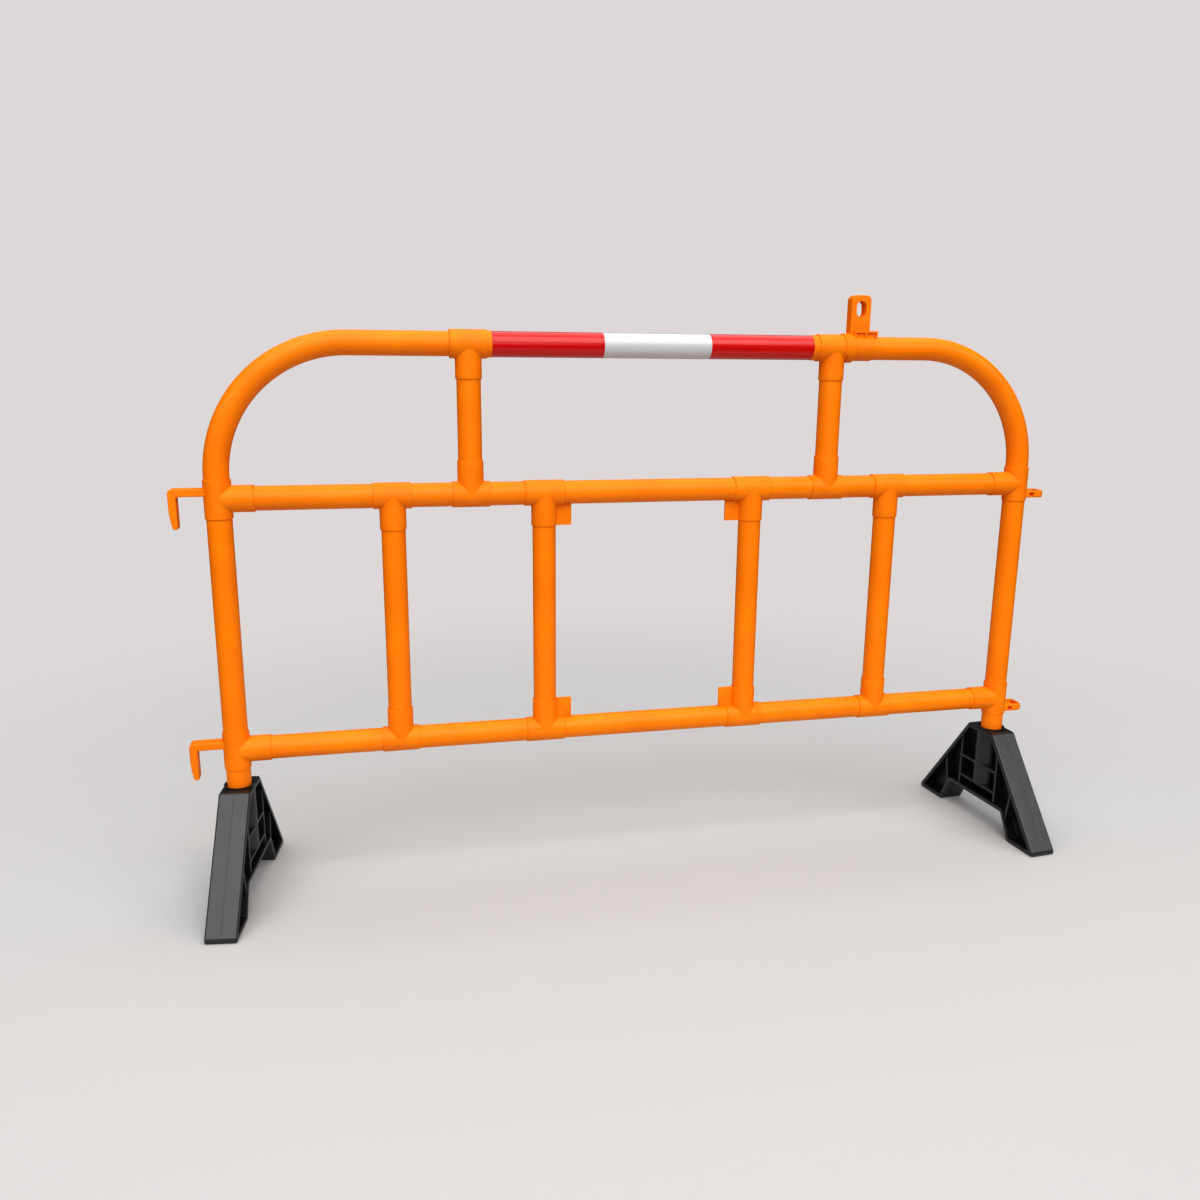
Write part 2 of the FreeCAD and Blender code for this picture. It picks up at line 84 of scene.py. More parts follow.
# Hooks, measured from the post's axis and the rail's
HOOK_REACH = 78 * MM
HOOK_WIDTH = 24 * MM
HOOK_THICKNESS = 13 * MM
HOOK_ARM_TOP = 18.5 * MM
HOOK_DROP = 49 * MM
HOOK_TIP = 8 * MM
HOOK_TAPER_LENGTH = 38 * MM
HOOK_CORNER = 7 * MM
HOOK_CROOK = 2.5 * MM
HOOK_TIP_CORNER = 2.5 * MM
HOOK_EDGE = 1.8 * MM
HOOK_TAPER_STEPS = 12

# Eyes
EYE_REACH = 56 * MM
EYE_SLOT_WIDTH = 27 * MM
EYE_HEIGHT = 14 * MM
EYE_BELOW = 20 * MM
EYE_CORNER = 11 * MM
EYE_EDGE = 2.5 * MM
EYE_OUTER_WALL = 6 * MM
EYE_SIDE_WALL = 5 * MM
EYE_SLOT_LENGTH = 16 * MM
EYE_SLOT_CORNER = 3 * MM
EYE_SLOT_EDGE = 0.1 * MM
EYE_POCKET_START = 22.5 * MM
EYE_POCKET_HEIGHT = 6.5 * MM
EYE_POCKET_DEPTH = 9 * MM
EYE_POCKET_ROUNDNESS = 0.9
EYE_POCKET_EDGE = 0.5 * MM
EYE_POCKET_WALL = 1 * MM

# Where a hook or an eye grows out of its tee, from the post's axis
LINK_ROOT = 14 * MM
LINK_ROOT_RADIUS = 22 * MM

# The filled ledge of the lamp bracket, its heights measured from the rail's axis
LEDGE_RECESS = 3.5 * MM
LEDGE_HALF_DEPTH = 15.5 * MM
LEDGE_LENGTH = 45 * MM
LEDGE_ROOT = 15 * MM
LEDGE_UNDERSIDE = 29 * MM
LEDGE_END = 1 * MM
LEDGE_EDGE = 0.2 * MM
RAIL_CLEARANCE = 21.4 * MM

# Edges left by the mould: how wide they are, and the turn in degrees from which they are rounded
BRACKET_EDGE = 0.7 * MM
FITTING_EDGE = 0.8 * MM
FOOT_EDGE = 0.8 * MM
EDGE_SEGMENTS = 3
FITTING_SHARP = 30
MOULDING_SHARP = 40

# Feet, in the plane across the barrier: out from the post's axis, and up from the floor
FOOT_TURN = {"foot_left": -7.4, "foot_right": 4.6}
FOOT_HALF_WIDTH = 26.75 * MM
FOOT_HEIGHT = 206 * MM
FOOT_TOP_HALF = 39 * MM
FOOT_HALF_LENGTH = 187 * MM
FOOT_TOE_HEIGHT = 9 * MM
FOOT_HEEL_HALF = 111 * MM
ARCH_HALF = 83 * MM
ARCH_HEIGHT = 52.5 * MM
FOOT_TOP_CORNER = 7 * MM
FOOT_TOE_CORNER = 8 * MM
FOOT_SOLE_CORNER = 3.6 * MM
ARCH_CORNER = 5 * MM
FOOT_RIM = 3.2 * MM
FOOT_WALL = 9 * MM
FOOT_HALF_WEB = 3.5 * MM
HOLLOW_CORNER = 2 * MM
HOLLOW_EDGE = 1.5 * MM
RIB_THICKNESS = 6 * MM
RIB_HALF_WIDTH = 24.25 * MM
RIB_EDGE = 1 * MM
RIB_ROOT = 4.5 * MM
TOE_RIB_ROOT = 6.5 * MM
INNER_RIB_Y = 57 * MM
TOE_RIB_Y = (95 * MM, 108 * MM)
RIB_LEVELS = (82 * MM, 126 * MM)
FOOT_SOCKET_RADIUS = 26.38 * MM
FOOT_BORE_RADIUS = 21.08 * MM
FOOT_SOCKET_FLOOR = 85.1 * MM
FOOT_MOUTH_RADIUS = 24.08 * MM
FOOT_MOUTH_DEPTH = 6 * MM
PARTING_WIDTH = 1.4 * MM
PARTING_HEIGHT = 0.4 * MM
PARTING_EDGE = 0.3 * MM
PARTING_SHORT = 6 * MM

# Turns that are left smooth, in degrees
PIPE_CREASE = 40
TEE_CREASE = 50
END_TEE_CREASE = 40
MOULDING_CREASE = 35

# Cutting and joining: how far a cutter runs past what it cuts, and how near points are one point
CUT_REACH = 100 * MM
CUT_BEYOND = 1 * MM
WELD = 0.002 * MM
CAD_WELD = 0.01 * MM
CAD_FLAT = math.radians(0.5)

# Stands a shape drawn across the barrier, as (Y, Z), upright; its thickness runs along X
ACROSS = Matrix(((0, 0, 1), (1, 0, 0), (0, 1, 0))).to_4x4()

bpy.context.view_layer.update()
BODY_OF = {node: body for body, nodes in frame["record"]["behaviour"]["bodies"].items()
           for node in nodes}
SLOT_OF = {part["node"]: part["material_slot"] for part in frame["record"]["subparts"]}


# ---- nodes and materials ----

def linear(colour):
    """An sRGB hex colour as linear red, green, blue and alpha."""
    parts = [int(colour[start:start + 2], 16) / 255 for start in (1, 3, 5)]
    return [part / 12.92 if part <= 0.04045 else ((part + 0.055) / 1.055) ** 2.4
            for part in parts] + [1.0]


def add(tree, kind, settings=None, inputs=None):
    """Adds a node with its settings. An input takes a value, an output or a node.

    An input goes by its identifier or its name. A node given to one is linked from its first
    output that is in use.
    """
    made = tree.nodes.new(kind)
    for name, value in (settings or {}).items():
        setattr(made, name, value)
    for name, value in (inputs or {}).items():
        found = ([socket for socket in made.inputs if socket.identifier == name]
                 or [socket for socket in made.inputs if socket.name == name])
        if isinstance(value, bpy.types.Node):
            value = next(output for output in value.outputs if output.enabled)
        if isinstance(value, bpy.types.NodeSocket):
            tree.links.new(value, found[0])
        else:
            found[0].default_value = value
    return made


def new_material(name):
    material = bpy.data.materials.new(name)
    material.use_nodes = True
    material.node_tree.nodes.clear()
    return material, material.node_tree


def principled(tree, inputs):
    shader = add(tree, "ShaderNodeBsdfPrincipled", inputs=inputs)
    add(tree, "ShaderNodeOutputMaterial", inputs={"Surface": shader})


def extruded_pvc():
    """Extruded rigid PVC pipe: a satin skin with faint lines along it, drawn by the die."""
    material, tree = new_material("extruded_pvc_orange")
    line_width = 1.6 * MM
    place = add(tree, "ShaderNodeAttribute", {"attribute_name": "pipe_place"}).outputs["Vector"]
    drawn = add(tree, "ShaderNodeMapping", inputs={"Vector": place, "Scale": (0.01, 1, 1)})
    lines = add(tree, "ShaderNodeTexNoise", inputs={
        "Vector": drawn, "Scale": 1 / line_width, "Detail": 3.0})
    clouds = add(tree, "ShaderNodeTexNoise", inputs={"Vector": place, "Scale": 9.0, "Detail": 2.0})
    shade = add(tree, "ShaderNodeMapRange", inputs={"Value": clouds, "From Min": 0.35, "From Max": 0.65})
    colour = add(tree, "ShaderNodeMix", {"data_type": "RGBA"}, {
        "Factor_Float": shade, "A_Color": linear("#F68700"), "B_Color": linear("#FC8F00")})
    rough = add(tree, "ShaderNodeMapRange", inputs={"Value": lines, "To Min": 0.36, "To Max": 0.48})
    relief = add(tree, "ShaderNodeBump", inputs={
        "Height": lines, "Strength": 0.12, "Distance": 0.05 * MM})
    principled(tree, {"Base Color": colour, "Roughness": rough, "Normal": relief, "IOR": 1.53,
                      "Specular IOR Level": 0.3})
    return material


def moulded_pvc():
    """Injection-moulded rigid PVC: a little duller than the pipe, with a fine even grain."""
    material, tree = new_material("moulded_pvc_orange")
    grain_size = 0.9 * MM
    place = add(tree, "ShaderNodeTexCoord").outputs["Object"]
    grain = add(tree, "ShaderNodeTexNoise", inputs={
        "Vector": place, "Scale": 1 / grain_size, "Detail": 2.0})
    clouds = add(tree, "ShaderNodeTexNoise", inputs={"Vector": place, "Scale": 22.0, "Detail": 2.0})
    shade = add(tree, "ShaderNodeMapRange", inputs={"Value": clouds, "From Min": 0.35, "From Max": 0.65})
    colour = add(tree, "ShaderNodeMix", {"data_type": "RGBA"}, {
        "Factor_Float": shade, "A_Color": linear("#F48600"), "B_Color": linear("#FA8D00")})
    rough = add(tree, "ShaderNodeMapRange", inputs={"Value": grain, "To Min": 0.42, "To Max": 0.56})
    relief = add(tree, "ShaderNodeBump", inputs={
        "Height": grain, "Strength": 0.15, "Distance": 0.05 * MM})
    principled(tree, {"Base Color": colour, "Roughness": rough, "Normal": relief, "IOR": 1.53,
                      "Specular IOR Level": 0.3})
    return material


def reflective_film(name, colour, cell_colour):
    """Retroreflective sheeting: a clear face over a mesh of sealed cells.

    The glass beads in it give it a whitish sheen.
    """
    material, tree = new_material(name)
    cell_size = 5.0 * MM
    place = add(tree, "ShaderNodeAttribute", {"attribute_name": "pipe_place"}).outputs["Vector"]
    cells = add(tree, "ShaderNodeTexVoronoi", {"feature": "DISTANCE_TO_EDGE"}, {
        "Vector": place, "Scale": 1 / cell_size, "Randomness": 0.1})
    wall = add(tree, "ShaderNodeMapRange", inputs={
        "Value": cells, "From Max": 0.12, "To Min": 1.0, "To Max": 0.0})
    tint = add(tree, "ShaderNodeMix", {"data_type": "RGBA"}, {
        "Factor_Float": wall, "A_Color": linear(colour), "B_Color": linear(cell_colour)})
    relief = add(tree, "ShaderNodeBump", inputs={
        "Height": wall, "Strength": 0.02, "Distance": 0.02 * MM})
    principled(tree, {
        "Base Color": tint, "Normal": relief, "Roughness": 0.4, "Specular IOR Level": 0.2,
        "Coat Weight": 1.0, "Coat Roughness": 0.2, "Sheen Weight": 0.08, "Sheen Roughness": 0.35})
    return material


def recycled_pvc():
    """Moulded recycled PVC: near black and dull, mottled grey where the regrind flowed unevenly."""
    material, tree = new_material("moulded_recycled_pvc_black")
    grain_size = 1.2 * MM
    place = add(tree, "ShaderNodeTexCoord").outputs["Object"]
    grain = add(tree, "ShaderNodeTexNoise", inputs={
        "Vector": place, "Scale": 1 / grain_size, "Detail": 3.0})
    mottle = add(tree, "ShaderNodeTexNoise", inputs={
        "Vector": place, "Scale": 45.0, "Detail": 5.0, "Roughness": 0.6})
    shade = add(tree, "ShaderNodeMapRange", inputs={"Value": mottle, "From Min": 0.3, "From Max": 0.7})
    colour = add(tree, "ShaderNodeMix", {"data_type": "RGBA"}, {
        "Factor_Float": shade, "A_Color": linear("#111111"), "B_Color": linear("#1D1E1E")})
    rough = add(tree, "ShaderNodeMapRange", inputs={"Value": mottle, "To Min": 0.34, "To Max": 0.5})
    relief = add(tree, "ShaderNodeBump", inputs={
        "Height": grain, "Strength": 0.25, "Distance": 0.08 * MM})
    principled(tree, {"Base Color": colour, "Roughness": rough, "Normal": relief, "IOR": 1.52,
                      "Specular IOR Level": 0.9})
    return material


MATERIALS = {
    "orange_tube": extruded_pvc(),
    "orange_moulding": moulded_pvc(),
    "red_film": reflective_film("reflective_film_red", "#D00002", "#C60002"),
    "white_film": reflective_film("reflective_film_white", "#CFD0D1", "#C9CACB"),
    "black_moulding": recycled_pvc(),
}


# ---- pieces ----

def new_object(name, mesh):
    made = bpy.data.objects.new(name, mesh)
    bpy.context.scene.collection.objects.link(made)
    return made


def applied(host, name):
    """The host's mesh with its modifiers worked in, on a plain new object; the host goes."""
    graph = bpy.context.evaluated_depsgraph_get()
    mesh = bpy.data.meshes.new_from_object(
        host.evaluated_get(graph), preserve_all_data_layers=True, depsgraph=graph)
    used = host.data
    bpy.data.objects.remove(host)
    bpy.data.meshes.remove(used)
    mesh.name = name
    return new_object(name, mesh)


def stand_for(piece, cad_node):
    """Shows the piece for one node of the frame, in its finish; it moves with the node's body."""
    piece.data.materials.clear()
    piece.data.materials.append(MATERIALS[SLOT_OF[cad_node]])
    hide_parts(cad_node)
    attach(piece, BODY_OF[cad_node])


def shade_by_angle(mesh, degrees):
    """Smooth faces, with a crease along every edge that turns more than this many degrees."""
    limit = math.radians(degrees)
    work = bmesh.new()
    work.from_mesh(mesh)
    for face in work.faces:
        face.smooth = True
    for edge in work.edges:
        edge.smooth = len(edge.link_faces) == 2 and edge.calc_face_angle(0) < limit
    work.to_mesh(mesh)
    work.free()


def evenly_shaded(made, degrees):
    """Smooth across roundings and flat across flat faces, which keep their own direction."""
    shade_by_angle(made.data, degrees)
    weighted = made.modifiers.new("even", "WEIGHTED_NORMAL")
    weighted.keep_sharp = True
    return applied(made, made.name)


def rail_height(level):
    """The height of a rail's axis: the top, mid or bottom one."""
    low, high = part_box(level + "_rail")
    return (low.z + high.z) / 2


def post_axis(side):
    """Where a corner post stands along X: over the middle of its foot. side is -1 or 1."""
    low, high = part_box("foot_left" if side < 0 else "foot_right")
    return (low.x + high.x) / 2


# ---- pipes and film: Geometry Nodes ----

def new_tree(name, inputs):
    """An empty Geometry Nodes tree: a route and the named inputs go in, a geometry comes out."""
    tree = bpy.data.node_groups.new(name, "GeometryNodeTree")
    tree.interface.new_socket(name="Route", in_out="INPUT", socket_type="NodeSocketGeometry")
    for label, kind in inputs:
        tree.interface.new_socket(name=label, in_out="INPUT", socket_type=kind)
    tree.interface.new_socket(name="Geometry", in_out="OUTPUT", socket_type="NodeSocketGeometry")
    return tree, tree.nodes.new("NodeGroupInput").outputs


def sweep(tree, route, profile, material):
    """Sweeps the profile along the route.

    pipe_place is where each point of the skin would be if the pipe were straight.
    """
    length = add(tree, "GeometryNodeSplineParameter").outputs["Length"]
    at_route = add(tree, "GeometryNodeCaptureAttribute", inputs={"Geometry": route})
    at_route.capture_items.new("FLOAT", "Along")
    tree.links.new(length, at_route.inputs["Along"])
    at_profile = add(tree, "GeometryNodeCaptureAttribute", inputs={"Geometry": profile})
    at_profile.capture_items.new("VECTOR", "Around")
    position = add(tree, "GeometryNodeInputPosition").outputs["Position"]
    tree.links.new(position, at_profile.inputs["Around"])
    skin = add(tree, "GeometryNodeCurveToMesh", inputs={"Curve": at_route, "Profile Curve": at_profile})
    around = add(tree, "ShaderNodeSeparateXYZ", inputs={"Vector": at_profile.outputs["Around"]})
    place = add(tree, "ShaderNodeCombineXYZ", inputs={
        "X": at_route.outputs["Along"], "Y": around.outputs["X"], "Z": around.outputs["Y"]})
    stored = add(tree, "GeometryNodeStoreNamedAttribute",
                 {"data_type": "FLOAT_VECTOR", "domain": "POINT"},
                 {"Geometry": skin, "Name": "pipe_place", "Value": place})
    smooth = add(tree, "GeometryNodeSetShadeSmooth", inputs={"Geometry": stored})
    real = add(tree, "GeometryNodeRealizeInstances", inputs={"Geometry": smooth})
    coated = add(tree, "GeometryNodeSetMaterial", inputs={"Geometry": real, "Material": material})
    add(tree, "NodeGroupOutput", inputs={"Geometry": coated})


def pipe_tree():
    """A pipe's outer skin along a route of straight runs, its corners rounded to the bend radius."""
    tree, given = new_tree("pipe_along_route", [
        ("Radius", "NodeSocketFloat"), ("Sides", "NodeSocketInt"), ("Bend Radius", "NodeSocketFloat"),
        ("Bend Steps", "NodeSocketInt"), ("Material", "NodeSocketMaterial")])
    line = add(tree, "GeometryNodeMeshToCurve", inputs={"Mesh": given["Route"]})
    bent = add(tree, "GeometryNodeFilletCurve", {"mode": "POLY"}, {
        "Curve": line, "Count": given["Bend Steps"], "Radius": given["Bend Radius"]})
    ring = add(tree, "GeometryNodeCurvePrimitiveCircle", inputs={
        "Resolution": given["Sides"], "Radius": given["Radius"]})
    sweep(tree, bent, ring, given["Material"])
    return tree


def film_tree():
    """A strip of film wound once round a pipe, its end lapped over its start."""
    tree, given = new_tree("film_round_pipe", [
        ("Radius", "NodeSocketFloat"), ("Step", "NodeSocketFloat"), ("Turns", "NodeSocketFloat"),
        ("Sides", "NodeSocketInt"), ("Material", "NodeSocketMaterial")])
    line = add(tree, "GeometryNodeMeshToCurve", inputs={"Mesh": given["Route"]})
    outer = add(tree, "ShaderNodeMath", {"operation": "ADD"}, {
        "Value": given["Radius"], "Value_001": given["Step"]})
    spiral = add(tree, "GeometryNodeCurveSpiral", inputs={
        "Resolution": given["Sides"], "Rotations": given["Turns"], "Start Radius": given["Radius"],
        "End Radius": outer, "Height": 0.0})
    sweep(tree, line, spiral, given["Material"])
    return tree


def along_route(name, points, tree, values, wall):
    """Runs a tree on a route, then gives the skin its wall, inwards from it."""
    mesh = bpy.data.meshes.new(name)
    mesh.from_pydata(points, [(i, i + 1) for i in range(len(points) - 1)], [])
    host = new_object(name + "_route", mesh)
    modifier = host.modifiers.new(tree.name, "NODES")
    modifier.node_group = tree
    for item in tree.interface.items_tree:
        if item.in_out == "INPUT" and item.name in values:
            modifier[item.identifier] = values[item.name]
    thick = host.modifiers.new("wall", "SOLIDIFY")
    thick.thickness = wall
    thick.offset = -1
    return applied(host, name)


PIPE_TREE = pipe_tree()
FILM_TREE = film_tree()


def pipe(cad_node, points, radius):
    """A pipe through the points, its bends rounded."""
    values = {"Radius": radius, "Sides": PIPE_SIDES, "Bend Radius": BEND_RADIUS,
              "Bend Steps": BEND_STEPS, "Material": MATERIALS["orange_tube"]}
    made = along_route(cad_node + "_pipe", points, PIPE_TREE, values, PIPE_WALL)
    shade_by_angle(made.data, PIPE_CREASE)
    stand_for(made, cad_node)


def straight_pipe(cad_node):
    """A pipe from end to end of its node's box, along the box's longest side."""
    low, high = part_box(cad_node)
    centre = (low + high) / 2
    size = high - low
    axis = max(range(3), key=lambda i: size[i])
    start, end = centre.copy(), centre.copy()
    start[axis], end[axis] = low[axis], high[axis]
    pipe(cad_node, [start, end], sorted(size)[1] / 2)


def corner_pipe(cad_node, side):
    """Up from the foot, round the bend and inwards to the top tee. side is -1 or 1."""
    low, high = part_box(cad_node)
    post_x = post_axis(side)
    radius = post_x - low.x if side < 0 else high.x - post_x
    rail_z = high.z - radius
    rail_end_x = high.x if side < 0 else low.x
    pipe(cad_node, [Vector((x, 0, z)) for x, z in (
        (post_x, low.z), (post_x, rail_z), (rail_end_x, rail_z))], radius)


def film(cad_node):
    """A strip of film wound round the rail; it starts and ends at the rail's back."""
    low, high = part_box(cad_node)
    centre = (low + high) / 2
    inner = (high.z - low.z) / 2 - FILM_STEP
    turns = 1 + FILM_LAP / (2 * math.pi * inner)
    values = {"Radius": inner + FILM_WALL, "Step": FILM_STEP * turns, "Turns": turns,
              "Sides": PIPE_SIDES, "Material": MATERIALS[SLOT_OF[cad_node]]}
    points = [Vector((low.x, 0, centre.z)), Vector((high.x, 0, centre.z))]
    made = along_route(cad_node + "_wrap", points, FILM_TREE, values, FILM_WALL)
    shade_by_angle(made.data, PIPE_CREASE)
    stand_for(made, cad_node)


# ---- pipe fittings ----

class Skin:
    """Grids of points, welded into one closed mesh."""

    def __init__(self):
        self.points = []
        self.faces = []

    def grid(self, rows, close_end=False):
        """Rows of as many points each, every row a closed ring; close_end fills in the first row."""
        start = len(self.points)
        count = len(rows[0])
        for row in rows:
            self.points.extend(row)
        for r in range(len(rows) - 1):
            for c in range(count):
                n = (c + 1) % count
                at = start + r * count
                self.faces.append((at + c, at + n, at + count + n, at + count + c))
        if close_end:
            self.faces.append(tuple(range(start, start + count)))

    def mesh(self, name, matrix):
        work = bmesh.new()
        verts = [work.verts.new(p) for p in self.points]
        for face in self.faces:
            work.faces.new([verts[i] for i in face])
        bmesh.ops.remove_doubles(work, verts=work.verts, dist=WELD)
        bmesh.ops.dissolve_degenerate(work, edges=work.edges, dist=WELD)
        bmesh.ops.transform(work, matrix=matrix, verts=work.verts)
        bmesh.ops.recalc_face_normals(work, faces=work.faces)
        made = bpy.data.meshes.new(name)
        work.to_mesh(made)
        work.free()
        return made


def socket_end(inner, outer, end, out_sign):
    """Profile points (along, radius) of a socket's end: round its lip, across, into its bore."""
    points = []
    for step in range(LIP_STEPS + 1):
        turn = math.pi / 2 * step / LIP_STEPS
        points.append((end - out_sign * LIP_ROUND * (1 - math.sin(turn)),
                       outer - LIP_ROUND * (1 - math.cos(turn))))
    for step in range(MOUTH_STEPS + 1):
        turn = math.pi / 2 * step / MOUTH_STEPS
        points.append((end - out_sign * MOUTH_ROUND * (1 - math.cos(turn)),
                       inner + MOUTH_ROUND * (1 - math.sin(turn))))
    return points


def tee(name, matrix, run_half, run_radius, branch_length, branch_radius, seat_side=0):
    """A moulded tee: its run along X, bored right through, and its branch along Z, a blind socket.

    The outside is one skin of columns that go up the branch's bore, over its lip, down its side,
    round the crotch and out over the run. seat_side is the end of the run that takes a bush.
    """
    bore = SOCKET_BORE / 2
    edge = run_half - LIP_ROUND
    ends = np.linspace(-math.pi, math.pi, RUN_COLUMNS, endpoint=False)
    lines = np.linspace(1, -1, LINE_COLUMNS, endpoint=False)
    rim_x = np.concatenate([
        np.full(RUN_COLUMNS, edge), lines * edge, np.full(RUN_COLUMNS, -edge), -lines * edge])
    rim_turn = np.concatenate([
        ends, np.full(LINE_COLUMNS, math.pi), -ends, np.full(LINE_COLUMNS, -math.pi)])
    phi = np.arctan2(rim_turn / math.pi, rim_x / edge)
    cos, sin = np.cos(phi), np.sin(phi)

    def on_run(x, turn):
        return np.stack([x, run_radius * np.sin(turn), run_radius * np.cos(turn)], axis=1)

    def on_branch(radius, z):
        return np.stack([radius * cos, radius * sin, np.broadcast_to(z, cos.shape)], axis=1)

    crease_x = branch_radius * cos
    crease_turn = np.arcsin(branch_radius * sin / run_radius)
    crease = on_run(crease_x, crease_turn)
    setback = CROTCH_ROUND * np.tan(np.arccos(branch_radius * sin ** 2 / run_radius) / 2)
    setback = np.maximum(setback, CROTCH_LEAST)
    toward_x = rim_x - crease_x
    toward_turn = rim_turn - crease_turn
    share = setback / np.hypot(toward_x, run_radius * toward_turn)
    from_x = crease_x + toward_x * share
    from_turn = crease_turn + toward_turn * share
    side_top = crease + np.outer(setback, (0, 0, 1))
    run_start = on_run(from_x, from_turn)

    rows = [on_branch(bore, SOCKET_FLOOR)]
    mouth = socket_end(bore, branch_radius, branch_length, 1)
    rows += [on_branch(radius, z) for z, radius in reversed(mouth)]
    for t in np.linspace(0, 1, BRANCH_ROWS + 1)[1:-1]:
        z = mouth[0][0] * (1 - t) + side_top[:, 2] * t
        rows.append(on_branch(branch_radius, z))
    for t in np.linspace(0, 1, CROTCH_ROWS + 1):
        rows.append((1 - t) ** 2 * side_top + 2 * t * (1 - t) * crease + t ** 2 * run_start)
    for t in np.linspace(0, 1, SKIN_ROWS)[1:]:
        rows.append(on_run(from_x + (rim_x - from_x) * t, from_turn + (rim_turn - from_turn) * t))
    skin = Skin()
    skin.grid([[tuple(p) for p in row] for row in rows], close_end=True)

    bores = {side: BUSH_BORE / 2 if side == seat_side else bore for side in (-1, 1)}
    right = socket_end(bores[1], run_radius, run_half, 1)
    left = socket_end(bores[-1], run_radius, -run_half, -1)
    seat = []
    if seat_side:
        seat_x = seat_side * (run_half - BUSH_SEAT)
        seat = [(seat_x, BUSH_BORE / 2), (seat_x, bore)]
    inside = seat if seat_side > 0 else seat[::-1]
    profile = right + inside + left[::-1]
    skin.grid([[(x, radius * math.sin(t), radius * math.cos(t)) for t in ends]
               for x, radius in profile])
    return skin.mesh(name, matrix)


def rail_tee(cad_node, seat_side=0):
    """A tee on a rail, its branch up or down as its node's box says."""
    low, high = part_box(cad_node)
    rail_z = rail_height(cad_node.split("_")[0])
    up, down = high.z - rail_z, rail_z - low.z
    place = Matrix.Translation(((low.x + high.x) / 2, 0, rail_z))
    if up <= down:
        place = place @ Matrix.Rotation(math.pi, 4, "X")
    name = cad_node + "_fitting"
    mesh = tee(name, place, (high.x - low.x) / 2, (high.y - low.y) / 2, max(up, down),
               BRANCH_OD / 2, seat_side)
    shade_by_angle(mesh, TEE_CREASE)
    stand_for(new_object(name, mesh), cad_node)


def welded(cad_node, name):
    """A node's own shape, its doubled points joined and its flat faces whole."""
    work = bmesh.new()
    work.from_mesh(frame["nodes"][cad_node].data)
    bmesh.ops.remove_doubles(work, verts=work.verts, dist=CAD_WELD)
    bmesh.ops.dissolve_limit(work, angle_limit=CAD_FLAT, verts=work.verts, edges=work.edges)
    mesh = bpy.data.meshes.new(name)
    work.to_mesh(mesh)
    work.free()
    return mesh


def mould_edges(made, edge, degrees):
    """Rounds the edges that turn more than this many degrees, as a mould leaves them."""
    bevel = made.modifiers.new("edges", "BEVEL")
    bevel.width = edge
    bevel.segments = EDGE_SEGMENTS
    bevel.limit_method = "ANGLE"
    bevel.angle_limit = math.radians(degrees)
    bevel.miter_outer = "MITER_ARC"
    return applied(made, made.name)


def copied(cad_node, edge):
    """A fitting in its node's own shape, with its edges rounded."""
    name = cad_node + "_moulding"
    made = mould_edges(new_object(name, welded(cad_node, name)), edge, FITTING_SHARP)
    shade_by_angle(made.data, MOULDING_CREASE)
    stand_for(made, cad_node)


# ---- hooks and eyes ----

def rounded_corner(before, here, after, radius, steps=6):
    """Points round the corner between two straight sides of an outline."""
    before, here, after = Vector(before), Vector(here), Vector(after)
    back, on = (before - here).normalized(), (after - here).normalized()
    half = back.angle(on) / 2
    reach = radius / math.tan(half)
    middle = here + (back + on).normalized() * (radius / math.sin(half))
    first, last = here + back * reach, here + on * reach
    turn = (first - middle).angle(last - middle)
    points = []
    for step in range(steps + 1):
        share = step / steps
        a, b = math.sin((1 - share) * turn), math.sin(share * turn)
        points.append(tuple(middle + ((first - middle) * a + (last - middle) * b) / math.sin(turn)))
    return points


def outline_of(corners):
    """A closed outline from (x, y, radius) corners."""
    points = []
    for i, (x, y, radius) in enumerate(corners):
        if radius == 0:
            points.append((x, y))
        else:
            before, after = corners[i - 1][:2], corners[(i + 1) % len(corners)][:2]
            points.extend(rounded_corner(before, (x, y), after, radius))
    return points


def inset(points, amount):
    """The outline moved in by an amount, each point along the bisector of its two sides."""
    moved = []
    for i, here in enumerate(points):
        before, after = Vector(points[i - 1]), Vector(points[(i + 1) % len(points)])
        here = Vector(here)
        first, second = (here - before).normalized(), (after - here).normalized()
        left = Vector((-first.y, first.x)) + Vector((-second.y, second.x))
        share = left.normalized().dot(Vector((-first.y, first.x)))
        moved.append(here + left.normalized() * amount / share)
    return moved


def slab(name, outline, half, edge, matrix, steps=4):
    """A flat block of a counter-clockwise outline, from -half to half in Z, its rims rounded."""
    rows = []
    for i in range(steps + 1):
        turn = math.pi / 2 * i / steps
        points = inset(outline, edge * (1 - math.sin(turn)))
        rows.append([(p.x, p.y, half - edge * (1 - math.cos(turn))) for p in points])
    rows = [[(x, y, -z) for x, y, z in row] for row in rows] + rows[::-1]
    skin = Skin()
    skin.grid(rows, close_end=True)
    skin.faces.append(tuple(range(len(skin.points) - len(outline), len(skin.points))))
    return skin.mesh(name, matrix)


def turned(name, profile, matrix, sides=96):
    """A solid of revolution about Z from (radius, z) points, flat at both ends."""
    turns = [2 * math.pi * i / sides for i in range(sides)]
    skin = Skin()
    skin.grid([[(r * math.cos(t), r * math.sin(t), z) for t in turns] for r, z in profile],
              close_end=True)
    skin.faces.append(tuple(range(len(skin.points) - sides, len(skin.points))))
    return skin.mesh(name, matrix)


def rod(name, radius, low, high, matrix):
    """A plain round bar along Z, from low to high."""
    return turned(name, [(radius, low), (radius, high)], matrix)


